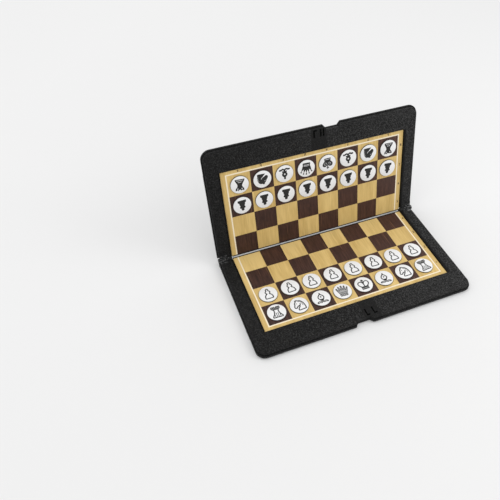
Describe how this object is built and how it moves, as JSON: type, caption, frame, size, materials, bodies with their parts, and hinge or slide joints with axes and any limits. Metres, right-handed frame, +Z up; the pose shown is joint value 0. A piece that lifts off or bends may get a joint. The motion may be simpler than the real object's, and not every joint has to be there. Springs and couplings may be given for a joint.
{
  "type": "pocket chess set",
  "caption": "Folding pocket chess set: two flat hinged plastic halves, a steel-backed printed board in each, and flat magnetic disc men with printed symbols.",
  "frame": {"origin": "centre of the base half's underside outline, on the plane that it rests on", "axes": "+X along the hinge, +Y from the free edge to the hinge, +Z up out of the board"},
  "size_m": [0.17, 0.1141, 0.0937],
  "materials": {
    "cover_plastic": "fine sandy grain",
    "frame_plastic": "fine sandy grain, smooth round the latch",
    "steel_sheet": "rolled",
    "printed_board": "printed wood grain, satin",
    "pin_steel": "drawn",
    "disc_face": "satin, printed"
  },
  "bodies": {
    "base": {"base_cover": "cover_plastic", "base_frame": "frame_plastic", "base_steel_sheet": "steel_sheet", "base_board": "printed_board", "hinge_pin_left": "pin_steel"},
    "lid": {"lid_cover": "cover_plastic", "lid_frame": "frame_plastic", "lid_steel_sheet": "steel_sheet", "lid_board": "printed_board", "hinge_pin_right": "pin_steel"},
    "white_rook_a": {"white_rook_a": "disc_face"},
    "white_knight_b": {"white_knight_b": "disc_face"},
    "white_bishop_c": {"white_bishop_c": "disc_face"},
    "white_queen_d": {"white_queen_d": "disc_face"},
    "white_king_e": {"white_king_e": "disc_face"},
    "white_bishop_f": {"white_bishop_f": "disc_face"},
    "white_knight_g": {"white_knight_g": "disc_face"},
    "white_rook_h": {"white_rook_h": "disc_face"},
    "white_pawn_a": {"white_pawn_a": "disc_face"},
    "white_pawn_b": {"white_pawn_b": "disc_face"},
    "white_pawn_c": {"white_pawn_c": "disc_face"},
    "white_pawn_d": {"white_pawn_d": "disc_face"},
    "white_pawn_e": {"white_pawn_e": "disc_face"},
    "white_pawn_f": {"white_pawn_f": "disc_face"},
    "white_pawn_g": {"white_pawn_g": "disc_face"},
    "white_pawn_h": {"white_pawn_h": "disc_face"},
    "black_rook_a": {"black_rook_a": "disc_face"},
    "black_knight_b": {"black_knight_b": "disc_face"},
    "black_bishop_c": {"black_bishop_c": "disc_face"},
    "black_queen_d": {"black_queen_d": "disc_face"},
    "black_king_e": {"black_king_e": "disc_face"},
    "black_bishop_f": {"black_bishop_f": "disc_face"},
    "black_knight_g": {"black_knight_g": "disc_face"},
    "black_rook_h": {"black_rook_h": "disc_face"},
    "black_pawn_a": {"black_pawn_a": "disc_face"},
    "black_pawn_b": {"black_pawn_b": "disc_face"},
    "black_pawn_c": {"black_pawn_c": "disc_face"},
    "black_pawn_d": {"black_pawn_d": "disc_face"},
    "black_pawn_e": {"black_pawn_e": "disc_face"},
    "black_pawn_f": {"black_pawn_f": "disc_face"},
    "black_pawn_g": {"black_pawn_g": "disc_face"},
    "black_pawn_h": {"black_pawn_h": "disc_face"}
  },
  "joints": [
    {"name": "lid_hinge", "type": "hinge", "parent": "base", "child": "lid", "pos_m": [0, 0.0455, 0.0052], "axis": [-1, 0, 0], "range_deg": [-102, 78]},
    {"name": "white_rook_a_lift", "type": "slide", "parent": "base", "child": "white_rook_a", "axis": [0, 0, 1], "range_m": [0, 0.02]},
    {"name": "white_knight_b_lift", "type": "slide", "parent": "base", "child": "white_knight_b", "axis": [0, 0, 1], "range_m": [0, 0.02]},
    {"name": "white_bishop_c_lift", "type": "slide", "parent": "base", "child": "white_bishop_c", "axis": [0, 0, 1], "range_m": [0, 0.02]},
    {"name": "white_queen_d_lift", "type": "slide", "parent": "base", "child": "white_queen_d", "axis": [0, 0, 1], "range_m": [0, 0.02]},
    {"name": "white_king_e_lift", "type": "slide", "parent": "base", "child": "white_king_e", "axis": [0, 0, 1], "range_m": [0, 0.02]},
    {"name": "white_bishop_f_lift", "type": "slide", "parent": "base", "child": "white_bishop_f", "axis": [0, 0, 1], "range_m": [0, 0.02]},
    {"name": "white_knight_g_lift", "type": "slide", "parent": "base", "child": "white_knight_g", "axis": [0, 0, 1], "range_m": [0, 0.02]},
    {"name": "white_rook_h_lift", "type": "slide", "parent": "base", "child": "white_rook_h", "axis": [0, 0, 1], "range_m": [0, 0.02]},
    {"name": "white_pawn_a_lift", "type": "slide", "parent": "base", "child": "white_pawn_a", "axis": [0, 0, 1], "range_m": [0, 0.02]},
    {"name": "white_pawn_b_lift", "type": "slide", "parent": "base", "child": "white_pawn_b", "axis": [0, 0, 1], "range_m": [0, 0.02]},
    {"name": "white_pawn_c_lift", "type": "slide", "parent": "base", "child": "white_pawn_c", "axis": [0, 0, 1], "range_m": [0, 0.02]},
    {"name": "white_pawn_d_lift", "type": "slide", "parent": "base", "child": "white_pawn_d", "axis": [0, 0, 1], "range_m": [0, 0.02]},
    {"name": "white_pawn_e_lift", "type": "slide", "parent": "base", "child": "white_pawn_e", "axis": [0, 0, 1], "range_m": [0, 0.02]},
    {"name": "white_pawn_f_lift", "type": "slide", "parent": "base", "child": "white_pawn_f", "axis": [0, 0, 1], "range_m": [0, 0.02]},
    {"name": "white_pawn_g_lift", "type": "slide", "parent": "base", "child": "white_pawn_g", "axis": [0, 0, 1], "range_m": [0, 0.02]},
    {"name": "white_pawn_h_lift", "type": "slide", "parent": "base", "child": "white_pawn_h", "axis": [0, 0, 1], "range_m": [0, 0.02]},
    {"name": "black_rook_a_lift", "type": "slide", "parent": "lid", "child": "black_rook_a", "axis": [0, -0.9781, 0.2079], "range_m": [0, 0.02]},
    {"name": "black_knight_b_lift", "type": "slide", "parent": "lid", "child": "black_knight_b", "axis": [0, -0.9781, 0.2079], "range_m": [0, 0.02]},
    {"name": "black_bishop_c_lift", "type": "slide", "parent": "lid", "child": "black_bishop_c", "axis": [0, -0.9781, 0.2079], "range_m": [0, 0.02]},
    {"name": "black_queen_d_lift", "type": "slide", "parent": "lid", "child": "black_queen_d", "axis": [0, -0.9781, 0.2079], "range_m": [0, 0.02]},
    {"name": "black_king_e_lift", "type": "slide", "parent": "lid", "child": "black_king_e", "axis": [0, -0.9781, 0.2079], "range_m": [0, 0.02]},
    {"name": "black_bishop_f_lift", "type": "slide", "parent": "lid", "child": "black_bishop_f", "axis": [0, -0.9781, 0.2079], "range_m": [0, 0.02]},
    {"name": "black_knight_g_lift", "type": "slide", "parent": "lid", "child": "black_knight_g", "axis": [0, -0.9781, 0.2079], "range_m": [0, 0.02]},
    {"name": "black_rook_h_lift", "type": "slide", "parent": "lid", "child": "black_rook_h", "axis": [0, -0.9781, 0.2079], "range_m": [0, 0.02]},
    {"name": "black_pawn_a_lift", "type": "slide", "parent": "lid", "child": "black_pawn_a", "axis": [0, -0.9781, 0.2079], "range_m": [0, 0.02]},
    {"name": "black_pawn_b_lift", "type": "slide", "parent": "lid", "child": "black_pawn_b", "axis": [0, -0.9781, 0.2079], "range_m": [0, 0.02]},
    {"name": "black_pawn_c_lift", "type": "slide", "parent": "lid", "child": "black_pawn_c", "axis": [0, -0.9781, 0.2079], "range_m": [0, 0.02]},
    {"name": "black_pawn_d_lift", "type": "slide", "parent": "lid", "child": "black_pawn_d", "axis": [0, -0.9781, 0.2079], "range_m": [0, 0.02]},
    {"name": "black_pawn_e_lift", "type": "slide", "parent": "lid", "child": "black_pawn_e", "axis": [0, -0.9781, 0.2079], "range_m": [0, 0.02]},
    {"name": "black_pawn_f_lift", "type": "slide", "parent": "lid", "child": "black_pawn_f", "axis": [0, -0.9781, 0.2079], "range_m": [0, 0.02]},
    {"name": "black_pawn_g_lift", "type": "slide", "parent": "lid", "child": "black_pawn_g", "axis": [0, -0.9781, 0.2079], "range_m": [0, 0.02]},
    {"name": "black_pawn_h_lift", "type": "slide", "parent": "lid", "child": "black_pawn_h", "axis": [0, -0.9781, 0.2079], "range_m": [0, 0.02]}
  ]
}
